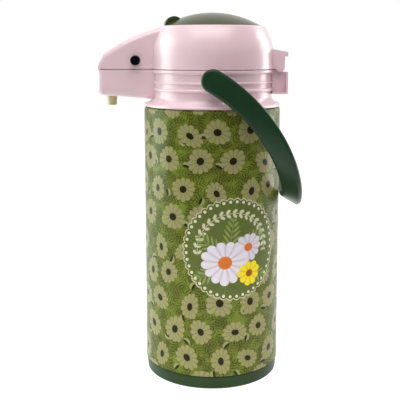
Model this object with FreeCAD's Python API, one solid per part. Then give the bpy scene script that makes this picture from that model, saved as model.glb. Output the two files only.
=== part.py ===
import FreeCAD, Part
import math
import os
from FreeCAD import Vector as V

# Pump pot: +Z up, foot on z = 0, spout towards -X, lid hinge towards +X, handle pivots on +Y and -Y.

# Body
BODY_R = 65.0
SHELL_T = 0.8
BASE_H = 11.6
SHELL_TOP = 260.0
SHELL_ROUND = 4.0
FOOT_DRAFT = 1.4
FOOT_WALL = 3.0
CAP_R = 40.3

# Glass
GLASS_ROOM = 5.2
GLASS_T = 1.8
VACUUM = 3.4
NECK_R = 30.0
GLASS_FOOT = 24.0
GLASS_SHOULDER = 240.0
GLASS_ROUND = 34.0

# Collar and beak
WALL = 2.4
COLLAR_STEP = 8.0
LIP_OUT = 2.0
COLLAR_H = 34.2
WEB_UP = 14.5
WEB_T = 3.0
BEAK_W = 40.0
BEAK_OUT = 52.0
BEAK_WALL = 2.2
BEAK_ROUND = 8.0
BEAK_EDGE = 5.0
BROW_BACK = 29.4
NOSE_BACK = 8.0
NOSE_H = 13.1
NOSE_FOOT = 1.8
NOZZLE_BACK = 13.0
NOZZLE_R = 5.1
NOZZLE_TIP = 260.2
PIPE_R = 4.4
PIPE_BORE = 3.0
PIPE_TURN = 6.0
TUBE_R = 4.0
SOCKET_H = 12.0
MOUTH_R = 23.5
GASKET_H = 6.0

# Lid and pump
SEAM_GAP = 0.6
LID_STEP = 0.1
LID_STRAIGHT = 11.2
LID_H = 39.8
SHOULDER = 11.9
LID_BEAD = 3.7
BUTTON_GAP = 0.7
DOME_H = 12.6
BUTTON_T = 2.2
STROKE = 19.0
PLATE_T = 2.4
BELLOWS_ROOM = 7.0
BELLOWS_FOLD = 7.0
BELLOWS_COUNT = 4
SPRING_R = 14.0
SPRING_WIRE = 1.6
SPRING_TURNS = 6
LOCK_W = 16.8
LOCK_HALF = 17.0
LOCK_TURN = 16.0
TAB_UP = 8.7

# Hinge, latch and handle
PIN_R = 2.0
PIN_OUT = 6.5
PIN_UP = 2.0
HINGE_T = 7.3
LUG_HALF = 12.0
CHEEK_HALF = 16.4
CHEEK_SKIN = 1.5
KNOB_R = 4.4
KNOB_BACK = 37.4
KNOB_UP = 8.3
KNOB_OUT = 8.0
LATCH_SPRING_R = 3.3
LATCH_WIRE = 0.8
PIVOT_R = 5.0
PIVOT_UP = 26.0
STRAP_ROOM = 2.5
STRAP_T = 5.0
STRAP_SLOPE = 30.7
STRAP_OUT = 20.1
STRAP_DROP = 140.0
STRAP_END = 107.0
STRAP_LEG = 8.0
STRAP_REACH = 64.0
STRAP_BEND = 40.0
STRAP_ROUND = 3.0
STRAP_EASE = 0.8
OUTER_IN = 4.0
OUTER_DROP = 46.3
INNER_IN = 21.5
INNER_DROP = 55.0
EYE_UP = 8.6
EYE_DOWN = 9.8

# Fits
TOUCH = 0.02
RUNNING = 0.08
FREE = 0.3
SIDE_GAP = 0.5

# Sizes and levels that follow from those above
SHELL_IN = BODY_R - SHELL_T
FOOT_R = BODY_R - FOOT_DRAFT
GLASS_R = SHELL_IN - GLASS_ROOM
COLLAR_R = BODY_R - COLLAR_STEP
LIP_R = COLLAR_R + LIP_OUT
LID_R = LIP_R - LID_STEP
OPENING_R = LID_R - SHOULDER
BELLOWS_R = OPENING_R - BELLOWS_ROOM
BEAK_REACH = COLLAR_R + BEAK_OUT
BEAK_ROOT = 17.0 - COLLAR_R
NOZZLE_X = NOZZLE_BACK - BEAK_REACH
KNOB_X = KNOB_BACK - BEAK_REACH
PIN_X = COLLAR_R + PIN_OUT
HINGE_BACK = PIN_X + HINGE_T
STRAP_IN = BODY_R + STRAP_ROOM
SEAM = SHELL_TOP + COLLAR_H
LID_FOOT = SEAM + SEAM_GAP
RIM = LID_FOOT + LID_H
BOW_H = LID_H - LID_STRAIGHT - 2.0
WEB = SHELL_TOP + WEB_UP
WEB_TOP = WEB + WEB_T
GLASS_TOP = WEB - 2.5
PIPE_Z = WEB + 7.5
MOUTH_TOP = SEAM - 4.2
GASKET_TOP = MOUTH_TOP + 2.3
WELL_TOP = GASKET_TOP + PLATE_T
PLATE_FOOT = LID_FOOT + 1.2
PLATE_TOP = PLATE_FOOT + PLATE_T
BUTTON_R = OPENING_R - BUTTON_GAP
LOCK_IN = BUTTON_R - LOCK_W
BUTTON_FOOT = PLATE_TOP + STROKE + 0.6
GUIDE_FOOT = BUTTON_FOOT + 2.3
FLOOR_TOP = RIM - 1.2
FLOOR_FOOT = FLOOR_TOP - PLATE_T
DOME_SPHERE = (BUTTON_R ** 2 + DOME_H ** 2) / (2 * DOME_H)
PIN_Z = SEAM + PIN_UP
KNOB_Z = LID_FOOT + KNOB_UP - 0.3
PIVOT_Z = SHELL_TOP + PIVOT_UP
BEAK_IN = BEAK_W / 2 - BEAK_WALL
BEAK_FLOOR = SHELL_TOP + 12.0


def cyl(r, z0, z1, x=0.0, y=0.0):
    return Part.makeCylinder(r, z1 - z0, V(x, y, z0))


def tube(r_out, r_in, z0, z1, x=0.0):
    return cyl(r_out, z0, z1, x).cut(cyl(r_in, z0 - 1, z1 + 1, x))


def rod_y(r, x, z, y0, y1):
    return Part.makeCylinder(r, y1 - y0, V(x, y0, z), V(0, 1, 0))


def block(x0, x1, y0, y1, z0, z1):
    return Part.makeBox(x1 - x0, y1 - y0, z1 - z0, V(x0, y0, z0))


def outline(steps):
    """Closed face in the XZ plane; a step of two points is an arc by way of the first."""
    here = V(steps[0][0], 0, steps[0][1])
    first = here
    edges = []
    for step in steps[1:] + [steps[0]]:
        last = step[-1] if isinstance(step[0], tuple) else step
        there = V(last[0], 0, last[1])
        if isinstance(step[0], tuple):
            edges.append(Part.Arc(here, V(step[0][0], 0, step[0][1]), there).toShape())
        elif there.distanceToPoint(here) > 1e-6:
            edges.append(Part.makeLine(here, there))
        here = there
    if here.distanceToPoint(first) > 1e-6:
        edges.append(Part.makeLine(here, first))
    return Part.Face(Part.Wire(edges))


def turned(steps, angle=360.0):
    return outline(steps).revolve(V(0, 0, 0), V(0, 0, 1), angle)


def wide(steps, half):
    face = outline(steps)
    face.translate(V(0, -half, 0))
    return face.extrude(V(0, 2 * half, 0))


def mirrored(shape):
    return shape.mirror(V(0, 0, 0), V(0, 1, 0))


def solid(shape):
    shape = shape.removeSplitter()
    return shape.Solids[0] if len(shape.Solids) == 1 else shape


def turned_about(shape, angle):
    return shape.rotated(V(0, 0, 0), V(0, 0, 1), angle)


def upright_edges(shape, x_limit):
    """Edges along Z on the far side of x_limit, such as a nose's two corners."""
    found = []
    for e in shape.Edges:
        box = e.BoundBox
        if box.XLength < 1e-4 and box.YLength < 1e-4 and box.XMax < x_limit:
            found.append(e)
    return found


# Foot, shell and glass

def base_ring():
    spigot = SHELL_IN - 0.05
    web = BASE_H - 5.6
    ring = turned([
        (FOOT_R - FOOT_WALL, 0), (FOOT_R - 1.0, 0), (FOOT_R, 1.2), (BODY_R - 0.5, BASE_H),
        (spigot, BASE_H), (spigot, BASE_H + 7.5), (spigot - 2.2, BASE_H + 7.5),
        (spigot - 2.2, web + 2.6), (CAP_R + 3.6, web + 2.6), (CAP_R + 3.6, web + 9.0),
        (CAP_R + 0.3, web + 9.0), (CAP_R + 0.3, web), (FOOT_R - FOOT_WALL, web)])
    for i in range(12):
        rib = block(CAP_R + 7.0, FOOT_R - 1.5, -0.8, 0.8, 2.0, web + 0.5)
        ring = ring.fuse(turned_about(rib, 30 * i + 15))
    return solid(ring)


def bottom_cap():
    web = BASE_H - 5.6
    cap = turned([
        (0, web + 5.6), (CAP_R - 2.4, web + 5.6), (CAP_R - 2.4, web - 2.4), (CAP_R + 5.7, web - 2.4),
        (CAP_R + 5.7, web), (CAP_R, web), (CAP_R, web + 8.0), (0, web + 8.0)])
    grip = block(1 - CAP_R, CAP_R - 1, -3, 3, web - 2.0, web + 6.0).common(cyl(CAP_R - 1.5, 0, 30))
    return solid(cap.fuse(grip))


def bottle(grow, top):
    """Bottle form that is the glass's outside, drawn in by a distance."""
    r = GLASS_R - grow
    n = NECK_R - grow
    foot = GLASS_FOOT + grow
    step = GLASS_R - NECK_R
    form = cyl(r, foot, GLASS_SHOULDER - grow).fuse(cyl(n, GLASS_SHOULDER - grow - 5, top)).removeSplitter()
    for z, radius, at in ((foot, GLASS_ROUND - grow, r), (GLASS_SHOULDER - grow, 0.62 * step - grow, r),
                          (GLASS_SHOULDER - grow, 0.34 * step, n)):
        for e in form.Edges:
            box = e.BoundBox
            if box.ZLength < 1e-4 and abs(box.ZMin - z) < 1e-4 and abs(box.XMax - at) < 1e-3:
                form = form.makeFillet(radius, [e])
                break
    return form


def glass_refill():
    gap = bottle(GLASS_T, GLASS_TOP - GLASS_T).cut(bottle(GLASS_T + VACUUM, GLASS_TOP + 5))
    tip = Part.makeCone(1.2, 4.0, 6.5, V(0, 0, GLASS_FOOT - 6.0))
    glass = bottle(0, GLASS_TOP).fuse(tip)
    return solid(glass.cut(gap).cut(bottle(2 * GLASS_T + VACUUM, GLASS_TOP + 5)))


def refill_cushion():
    foot = BASE_H + 2.4
    ring = turned([(9, foot), (CAP_R - 1, foot), (CAP_R + 4, GLASS_FOOT + 8), (9, GLASS_FOOT + 8)])
    return solid(ring.cut(bottle(-TOUCH, GLASS_TOP)))


def outer_shell():
    turn = math.sqrt(0.5)
    top = SHELL_TOP - SHELL_ROUND
    mid = BODY_R - SHELL_ROUND
    thin = SHELL_ROUND - SHELL_T
    return turned([
        (SHELL_IN, BASE_H), (BODY_R, BASE_H), (BODY_R, top),
        ((mid + SHELL_ROUND * turn, top + SHELL_ROUND * turn), (mid, SHELL_TOP)),
        (mid - 1.5, SHELL_TOP), (mid - 1.5, SHELL_TOP - SHELL_T), (mid, SHELL_TOP - SHELL_T),
        ((mid + thin * turn, top + thin * turn), (SHELL_IN, top))])


def mouth_gasket():
    return turned([
        (MOUTH_R + 1, GLASS_TOP), (NECK_R + 0.05, GLASS_TOP), (NECK_R + 0.05, GLASS_TOP - GASKET_H),
        (NECK_R + 2, GLASS_TOP - GASKET_H), (NECK_R + 2, WEB), (MOUTH_R + 1, WEB)])


# Collar, with the lower beak, hinge bracket and pivot bosses

def beak_side(drop, top, reach):
    """Lower beak's side outline; drop lifts the underside by a wall."""
    floor = SHELL_TOP + 9.8
    return [
        (BEAK_ROOT, top), (BEAK_ROOT, floor - 4 + drop), (1 - COLLAR_R, floor - 3.3 + drop),
        (6 - reach, floor + drop),
        ((1.7 - reach, floor + 1.8 + drop), (-reach, floor + 6 + drop)), (-reach, top)]


def lower_beak():
    half = BEAK_W / 2
    form = wide(beak_side(0, SEAM, BEAK_REACH), half)
    form = form.makeFillet(BEAK_ROUND, upright_edges(form, 1 - BEAK_REACH))
    form = form.cut(cyl(COLLAR_R - 1, SHELL_TOP - 10, SEAM + 1))
    room = block(BEAK_WALL - BEAK_REACH, BEAK_ROOT, -BEAK_IN, BEAK_IN, BEAK_FLOOR, SEAM + 1)
    room = room.makeFillet(BEAK_ROUND - BEAK_WALL, upright_edges(room, 3 - BEAK_REACH))
    form = form.cut(room.cut(cyl(COLLAR_R, 0, SEAM + 9)))
    form = form.cut(cyl(NOZZLE_R + FREE, SHELL_TOP, BEAK_FLOOR + 1, NOZZLE_X))
    ledge = wide([(KNOB_X - 4, SEAM - 6.5), (KNOB_X + 4, SEAM - 6.5), (KNOB_X + 4, SEAM - 4),
                  (KNOB_X - 4, SEAM - 4)], half - 1)
    return form.fuse(ledge.cut(block(KNOB_X - 9, KNOB_X + 9, 1.6 - BEAK_IN, BEAK_IN - 1.6, SHELL_TOP, SEAM)))


def lower_hinge():
    foot = WEB - 3.0
    stop = SEAM - 2.3
    head = PIN_R + 1.8
    lug = wide([
        (COLLAR_R - 1, foot), (HINGE_BACK, foot), (HINGE_BACK, stop), (PIN_X + 3.1, stop),
        (PIN_X + 3.1, PIN_Z - 2.2), (PIN_X - 3.1, PIN_Z - 2.2), (PIN_X - 3.1, SEAM), (COLLAR_R - 1, SEAM)],
        LUG_HALF)
    lug = lug.fuse(rod_y(head, PIN_X, PIN_Z, -LUG_HALF, LUG_HALF))
    shield = wide([(COLLAR_R - 1, foot), (HINGE_BACK, foot), (HINGE_BACK, stop), (HINGE_BACK - 1.8, stop),
                   (HINGE_BACK - 1.8, foot + 1.8), (COLLAR_R - 1, foot + 1.8)], CHEEK_HALF + 0.6)
    lug = lug.fuse(shield).cut(cyl(COLLAR_R - 1.2, 0, SEAM))
    return lug.cut(rod_y(PIN_R + TOUCH, PIN_X, PIN_Z, -30, 30))


def collar():
    inner = COLLAR_R - WALL
    spigot = BODY_R - SHELL_ROUND - 1.7
    flare = SHELL_TOP + 3.0
    form = turned([
        (spigot - 2, SHELL_TOP - 10), (spigot, SHELL_TOP - 10), (spigot, SHELL_TOP), (BODY_R, SHELL_TOP),
        (BODY_R, SHELL_TOP + 1), ((BODY_R - 0.7, SHELL_TOP + 2.3), (BODY_R - 2.2, flare)),
        ((COLLAR_R + 2.2, flare + 1.6), (COLLAR_R, flare + 5.5)), (COLLAR_R, SEAM - 3.8),
        (LIP_R - 0.8, SEAM - 3.2), (LIP_R, SEAM - 2.4), (LIP_R, SEAM - 0.5), (LIP_R - 0.5, SEAM),
        (inner, SEAM), (inner, WEB_TOP), (MOUTH_R + 3.3, WEB_TOP), (MOUTH_R + 3.3, WEB), (inner, WEB),
        (inner, flare + 4.5), (spigot - 2, flare + 0.5)])
    for z, r in ((WEB_TOP + 5.0, 1.2), (WEB + 1.3, 1.6)):
        form = form.fuse(Part.makeTorus(COLLAR_R, r, V(0, 0, z)).cut(cyl(COLLAR_R - 1, 0, SEAM)))
    boss_y = inner - 1.0
    for side in (1, -1):
        y0 = min(side * boss_y, side * (STRAP_IN - SIDE_GAP))
        y1 = max(side * boss_y, side * (STRAP_IN - SIDE_GAP))
        form = form.fuse(rod_y(PIVOT_R + 3, 0, PIVOT_Z, y0, y1))
    form = form.fuse(lower_beak()).fuse(lower_hinge())
    form = form.cut(rod_y(PIVOT_R + RUNNING, 0, PIVOT_Z, -BODY_R - 9, BODY_R + 9))
    pipe_way = Part.makeCylinder(PIPE_R + 0.5, WALL + 4, V(-COLLAR_R - 2, 0, PIPE_Z), V(1, 0, 0))
    return solid(form.cut(pipe_way))


# Filling mouth and the drink's way out

def mouth_ring():
    ring = turned([
        (MOUTH_R, WEB), (MOUTH_R + 3.1, WEB), (MOUTH_R + 3.1, WEB_TOP), (MOUTH_R + 8, WEB_TOP),
        (MOUTH_R + 8, WEB_TOP + 2), (MOUTH_R + 3.1, WEB_TOP + 2), (MOUTH_R + 3.1, MOUTH_TOP),
        (MOUTH_R, MOUTH_TOP)])
    way = Part.makeCylinder(PIPE_R + TOUCH, 12, V(-MOUTH_R - 10, 0, PIPE_Z), V(1, 0, 0))
    return solid(ring.cut(way))


def bent_pipe(r, bend, foot, drop):
    """Pipe up from the dip tube, along to the spout and down again."""
    spine = [V(0, 0, foot), V(0, 0, PIPE_Z - bend), V(-bend, 0, PIPE_Z),
             V(NOZZLE_X + bend, 0, PIPE_Z), V(NOZZLE_X, 0, PIPE_Z - bend), V(NOZZLE_X, 0, drop)]
    turn = bend * (1 - math.sqrt(0.5))
    edges = [
        Part.makeLine(spine[0], spine[1]),
        Part.Arc(spine[1], V(-turn, 0, PIPE_Z - turn), spine[2]).toShape(),
        Part.makeLine(spine[2], spine[3]),
        Part.Arc(spine[3], V(NOZZLE_X + turn, 0, PIPE_Z - turn), spine[4]).toShape(),
        Part.makeLine(spine[4], spine[5])]
    mouth = Part.Wire([Part.makeCircle(r, spine[0], V(0, 0, 1))])
    return Part.Wire(edges).makePipeShell([mouth], True, False)


def discharge_pipe():
    top = WEB + 1.5
    pipe = bent_pipe(PIPE_R, PIPE_TURN, top - 1, BEAK_FLOOR + 0.6)
    pipe = pipe.fuse(cyl(TUBE_R + 1.6, top - SOCKET_H, top))
    pipe = pipe.cut(bent_pipe(PIPE_BORE, PIPE_TURN, top - 2, BEAK_FLOOR - 1))
    return solid(pipe.cut(cyl(TUBE_R + TOUCH, top - SOCKET_H - 1, top - 1)))


def siphon_tube():
    foot = GLASS_FOOT + 2 * GLASS_T + VACUUM + 7
    form = tube(TUBE_R, TUBE_R - 1, foot, WEB + 0.5)
    slant = block(-6, 6, -6, 6, foot - 6, foot).rotated(V(0, 0, foot), V(0, 1, 0), 30)
    return solid(form.cut(slant))


def nozzle():
    tip = NOZZLE_R - 0.8
    form = outline([
        (3.3, NOZZLE_TIP), (tip - 0.4, NOZZLE_TIP), (tip, NOZZLE_TIP + 0.5), (NOZZLE_R, BEAK_FLOOR),
        (NOZZLE_R + 2.5, BEAK_FLOOR), (NOZZLE_R + 2.5, BEAK_FLOOR + 1.6), (NOZZLE_R + 1, BEAK_FLOOR + 1.6),
        (NOZZLE_R + 1, BEAK_FLOOR + 3.6), (PIPE_R + TOUCH, BEAK_FLOOR + 3.6),
        (PIPE_R + TOUCH, BEAK_FLOOR + 0.5), (3.3, BEAK_FLOOR + 0.5)]).revolve(V(0, 0, 0), V(0, 0, 1), 360)
    form.translate(V(NOZZLE_X, 0, 0))
    return form


# Lid

def lid_curve(inset):
    """Arc of the lid's side drawn in by a distance, from its straight foot up to a given height."""
    step = LID_R - 0.3 - OPENING_R - LID_BEAD
    bow = (BOW_H ** 2 + step ** 2) / (2 * step)
    centre = LID_R - 0.3 - bow
    z0 = LID_FOOT + LID_STRAIGHT
    r = bow - inset

    def at(up):
        return (centre + math.sqrt(r * r - up * up), z0 + up)
    return at


def lid_outside():
    at = lid_curve(0)
    return turned([
        (0, LID_FOOT), (LID_R, LID_FOOT), at(0), (at(BOW_H * 0.56), at(BOW_H)),
        ((OPENING_R + 2.7, RIM - 0.5), (OPENING_R + 1.2, RIM)), (0, RIM)])


def lid_inside():
    at = lid_curve(WALL)
    return turned([
        (0, LID_FOOT - 1), (LID_R - WALL - 0.1, LID_FOOT - 1), at(0), (at(BOW_H / 2), at(BOW_H - 2)),
        (0, RIM - 4)])


def upper_beak():
    half = BEAK_W / 2
    root = BEAK_ROOT - 4
    brow = LID_FOOT + 0.68 * LID_H
    nose = LID_FOOT + NOSE_FOOT
    tip = -BEAK_REACH
    face = tip + BEAK_WALL
    top = [(root, LID_FOOT), (root, RIM - 0.3), ((tip + BROW_BACK, brow), (tip + NOSE_BACK, nose + NOSE_H)),
           ((tip + NOSE_BACK / 3, nose + 0.535 * NOSE_H), (tip, nose)), (tip, LID_FOOT)]
    room = [(root, LID_FOOT - 1), (root, RIM - BEAK_WALL - 0.4),
            ((tip + BROW_BACK + 0.8, brow - BEAK_WALL - 0.1),
             (tip + NOSE_BACK + 1.4, nose + NOSE_H - BEAK_WALL)),
            ((tip + NOSE_BACK / 3 + 2, nose + 0.43 * NOSE_H), (face, nose - 0.3)), (face, LID_FOOT - 1)]
    form = wide(top, half)
    edges = []
    for e in form.Edges:
        box = e.BoundBox
        if box.YLength < 1e-4 and box.XMax < root + 1 and box.XMin < root - 2 and box.ZMax > LID_FOOT + 0.5:
            edges.append(e)
    form = form.makeFillet(BEAK_EDGE, edges)
    rib = block(KNOB_X - 8.4, KNOB_X + 8.6, -1.5, 1.5, LID_FOOT + 1, RIM).common(form)
    form = form.cut(wide(room, BEAK_IN).cut(lid_outside())).fuse(rib)
    for side in (1, -1):
        y0 = min(side * (BEAK_IN - 6), side * (half + 3))
        form = form.cut(rod_y(KNOB_R + FREE, KNOB_X, KNOB_Z, y0, y0 + BEAK_WALL + 9))
    return form


def upper_hinge():
    foot = PIN_Z + PIN_R + 2.5
    eye = PIN_R + 2.2
    top = LID_FOOT + 15.6
    bracket = wide([
        (COLLAR_R - 3, foot), (PIN_X + 4.3, foot), (PIN_X + 4.3, top - 4.1), (HINGE_BACK, top - 4.1),
        (HINGE_BACK, top), (COLLAR_R, top + 2.6), (COLLAR_R - 3, top + 2.6)], CHEEK_HALF)
    cheek = wide([(COLLAR_R - 3, LID_FOOT), (PIN_X, LID_FOOT), (PIN_X + eye, PIN_Z), (PIN_X + eye, foot + 1),
                  (COLLAR_R - 3, foot + 1)], CHEEK_HALF)
    cheek = cheek.fuse(rod_y(eye, PIN_X, PIN_Z, -CHEEK_HALF, CHEEK_HALF))
    cheek = cheek.cut(block(COLLAR_R - 9, HINGE_BACK + 5, -LUG_HALF - 0.4, LUG_HALF + 0.4, 0, foot))
    hole = rod_y(PIN_R + RUNNING, PIN_X, PIN_Z, CHEEK_SKIN - CHEEK_HALF, CHEEK_HALF + 1)
    return bracket.fuse(cheek).cut(hole)


def screw_places():
    r = OPENING_R + 4.2
    return [(r * math.cos(math.radians(a)), r * math.sin(math.radians(a))) for a in (45, 135, 225, 315)]


def lid_shell():
    form = lid_outside().cut(lid_inside()).cut(cyl(OPENING_R, LID_FOOT, RIM + 1))
    form = form.fuse(tube(OPENING_R + 2, OPENING_R, GUIDE_FOOT, RIM - 1))
    keep = lid_outside()
    for x, y in screw_places():
        form = form.fuse(cyl(3.2, PLATE_TOP, RIM - 4, x, y).common(keep))
    outer = upper_beak().fuse(upper_hinge())
    form = form.fuse(outer.cut(lid_inside()).cut(cyl(OPENING_R + 1, LID_FOOT - 5, RIM + 9)))
    for x, y in screw_places():
        form = form.cut(cyl(1.4, PLATE_TOP - 1, PLATE_TOP + 11, x, y))
    return solid(form)


def pump_plate():
    well = NECK_R + 0.5
    form = turned([
        (0, GASKET_TOP), (well, GASKET_TOP), (well, PLATE_FOOT), (LID_R - WALL - 0.6, PLATE_FOOT),
        (LID_R - WALL - 0.6, PLATE_TOP), (well - 2, PLATE_TOP), (well - 2, WELL_TOP), (0, WELL_TOP)])
    form = form.cut(cyl(2.0, GASKET_TOP - 1, WELL_TOP + 1))
    for a in range(0, 360, 60):
        x = 5.2 * math.cos(math.radians(a))
        y = 5.2 * math.sin(math.radians(a))
        form = form.cut(cyl(1.5, GASKET_TOP - 1, WELL_TOP + 1, x, y))
    for x, y in screw_places():
        form = form.cut(cyl(1.7, PLATE_FOOT - 1, PLATE_TOP + 1, x, y))
    return solid(form)


def plate_screws():
    screws = []
    for x, y in screw_places():
        head = cyl(2.8, PLATE_FOOT - 1.9, PLATE_FOOT, x, y)
        slot = block(x - 3, x + 3, y - 0.4, y + 0.4, PLATE_FOOT - 2, PLATE_FOOT - 1.1)
        screws.append(head.cut(slot).fuse(cyl(1.38, PLATE_FOOT - 0.5, PLATE_TOP + 9, x, y)).removeSplitter())
    return Part.makeCompound(screws)


def lid_gasket():
    return tube(MOUTH_R + 5, MOUTH_R - 0.8, MOUTH_TOP, GASKET_TOP)


def umbrella(r, seat, other):
    """Umbrella valve under a plate from seat up to other, with its bead above."""
    return turned([
        (0, seat - 2.6), (r * 0.5, seat - 2.0), (r, seat - 0.9), (r, seat), (1.9, seat), (1.9, other),
        (3.0, other), (2.2, other + 1.6), (0, other + 1.8)])


def outlet_valve():
    return umbrella(9.0, GASKET_TOP, WELL_TOP)


def intake_valve():
    return umbrella(8.0, FLOOR_FOOT, FLOOR_TOP)


def bellows():
    wall = 1.2
    foot = PLATE_TOP
    pitch = (FLOOR_FOOT - foot - 2 * wall) / (2 * BELLOWS_COUNT)
    out = [(BELLOWS_R - BELLOWS_FOLD, foot), (BELLOWS_R, foot)]
    for i in range(1, 2 * BELLOWS_COUNT):
        out.append((BELLOWS_R - BELLOWS_FOLD * (i % 2), foot + wall + pitch * i))
    out += [(BELLOWS_R, FLOOR_FOOT), (BELLOWS_R - BELLOWS_FOLD, FLOOR_FOOT)]
    back = [(r - 1.7, z) for r, z in reversed(out[2:-2])]
    top = (BELLOWS_R - BELLOWS_FOLD, FLOOR_FOOT - wall)
    return turned(out + [top] + back + [(BELLOWS_R - BELLOWS_FOLD, foot + wall)])


def coil(r, wire, turns, length):
    """Spring up Z from its first end: biarcs of a quarter turn, one unbroken tube."""
    count = 4 * turns
    rise = (length - wire) / (2 * math.pi * turns)

    def point(i):
        a = i * math.pi / 2
        return V(r * math.cos(a), r * math.sin(a), wire / 2 + rise * a)

    def heading(i):
        a = i * math.pi / 2
        return V(-r * math.sin(a), r * math.cos(a), rise).normalize()

    def arc(start, along, end):
        chord = end - start
        c = V(chord).normalize()
        off = (along - c * along.dot(c)).normalize()
        lean = math.acos(min(1.0, along.dot(c)))
        return Part.Arc(start, (start + end) * 0.5 + off * (chord.Length / 2 * math.tan(lean / 2)), end)

    edges = []
    for i in range(count):
        p, q, s, t = point(i), point(i + 1), heading(i), heading(i + 1)
        v = q - p
        both = v.dot(s + t)
        bend = 1 - s.dot(t)
        d = (math.sqrt(both * both + 2 * bend * v.dot(v)) - both) / (2 * bend)
        mid = (p + s * d + q - t * d) * 0.5
        edges.append(arc(p, s, mid).toShape())
        edges.append(arc(q, t * -1, mid).toShape())
    print("coil gap", round(rise * 2 * math.pi - wire, 2))
    ring = Part.Wire([Part.makeCircle(wire / 2, point(0), heading(0))])
    return Part.Wire(Part.__sortEdges__(edges)).makePipeShell([ring], True, False)


def pump_spring():
    form = coil(SPRING_R, SPRING_WIRE, SPRING_TURNS, FLOOR_FOOT - WELL_TOP)
    form.translate(V(0, 0, WELL_TOP))
    return form


# Button and lock

def dome_curve(top):
    return lambda r: (r, top - DOME_SPHERE + math.sqrt(DOME_SPHERE ** 2 - r * r))


def pump_button():
    over = dome_curve(RIM + DOME_H)
    under = dome_curve(RIM + DOME_H - BUTTON_T)
    inner = BUTTON_R - 2
    form = turned([
        over(0), (over(BUTTON_R / 2), over(BUTTON_R - 0.6)), (BUTTON_R, RIM - 0.6), (BUTTON_R, BUTTON_FOOT),
        (inner, BUTTON_FOOT), under(inner), (under(inner / 2), under(0))])
    for a in (0, 90, 180, 270):
        stop = tube(OPENING_R + 1.4, inner, BUTTON_FOOT, BUTTON_FOOT + 2)
        stop = stop.common(block(inner - 9, OPENING_R + 9, -9, 9, BUTTON_FOOT, GUIDE_FOOT))
        form = form.fuse(turned_about(stop, a))
    track = LOCK_IN - 0.9
    past = OPENING_R + 9
    notch = outline([(track, RIM - 0.1), (past, RIM - 0.1), (past, RIM + 20), (track, RIM + 20)])
    notch = notch.revolve(V(0, 0, 0), V(0, 0, 1), 2 * LOCK_HALF + LOCK_TURN + 1.6)
    return solid(form.cut(turned_about(notch, 180 - LOCK_HALF - LOCK_TURN - 0.8)))


def button_plate():
    return solid(tube(BUTTON_R - 2 - TOUCH, 2.0, FLOOR_FOOT, FLOOR_TOP))


def lock_ring():
    foot = FLOOR_TOP + 0.1
    rim = BUTTON_R - 4.0
    edge = BUTTON_R - 0.5
    ring = turned([
        (LOCK_IN, foot), (rim, foot), (rim, foot + 0.3), (rim - 4.3, foot + 1.8), (LOCK_IN, foot + 1.8)])
    tab = turned([
        (LOCK_IN + 0.1, foot + 1.0), (edge, foot + 1.0), (edge, RIM + 1.8),
        ((BUTTON_R - 7.1, RIM + TAB_UP), (LOCK_IN + 0.1, RIM + TAB_UP - 3.8))], 2 * LOCK_HALF)
    return solid(ring.fuse(turned_about(tab, 180 - LOCK_HALF)))


# Release buttons, hinge pin and handle

def release_button():
    """Near one, on the -Y side: shaft, flange, spring spigot and hook."""
    half = BEAK_W / 2
    shaft = rod_y(KNOB_R, KNOB_X, KNOB_Z, -half - KNOB_OUT, 1.0 - BEAK_IN)
    shaft = shaft.makeFillet(0.9, [e for e in shaft.Edges if e.BoundBox.YMax < -half])
    flange = rod_y(KNOB_R + 2, KNOB_X, KNOB_Z, 0.3 - BEAK_IN, 2.1 - BEAK_IN)
    spigot = rod_y(2.2, KNOB_X, KNOB_Z, 2.0 - BEAK_IN, 7.0 - BEAK_IN)
    under = KNOB_Z - LATCH_SPRING_R - LATCH_WIRE / 2 - FREE
    hook = block(KNOB_X - 3, KNOB_X + 3, 3.4 - BEAK_IN, 5.2 - BEAK_IN, SEAM - 9.6, under)
    nose = block(KNOB_X - 3, KNOB_X + 3, 1.9 - BEAK_IN, 3.6 - BEAK_IN, SEAM - 9.6, SEAM - 7.0)
    arm = block(KNOB_X - 3, KNOB_X + 3, 1.6 - BEAK_IN, 5.2 - BEAK_IN, under - 2.3, under)
    return solid(shaft.fuse([flange, spigot, hook, nose, arm]))


def latch_spring():
    start = 2.1 - BEAK_IN
    form = coil(LATCH_SPRING_R, LATCH_WIRE, 4, -1.5 - start)
    form.rotate(V(0, 0, 0), V(1, 0, 0), -90)
    form.translate(V(KNOB_X, start, KNOB_Z))
    return form


def hinge_pin():
    return rod_y(PIN_R, PIN_X, PIN_Z, CHEEK_SKIN + 0.1 - CHEEK_HALF, CHEEK_HALF)


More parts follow.
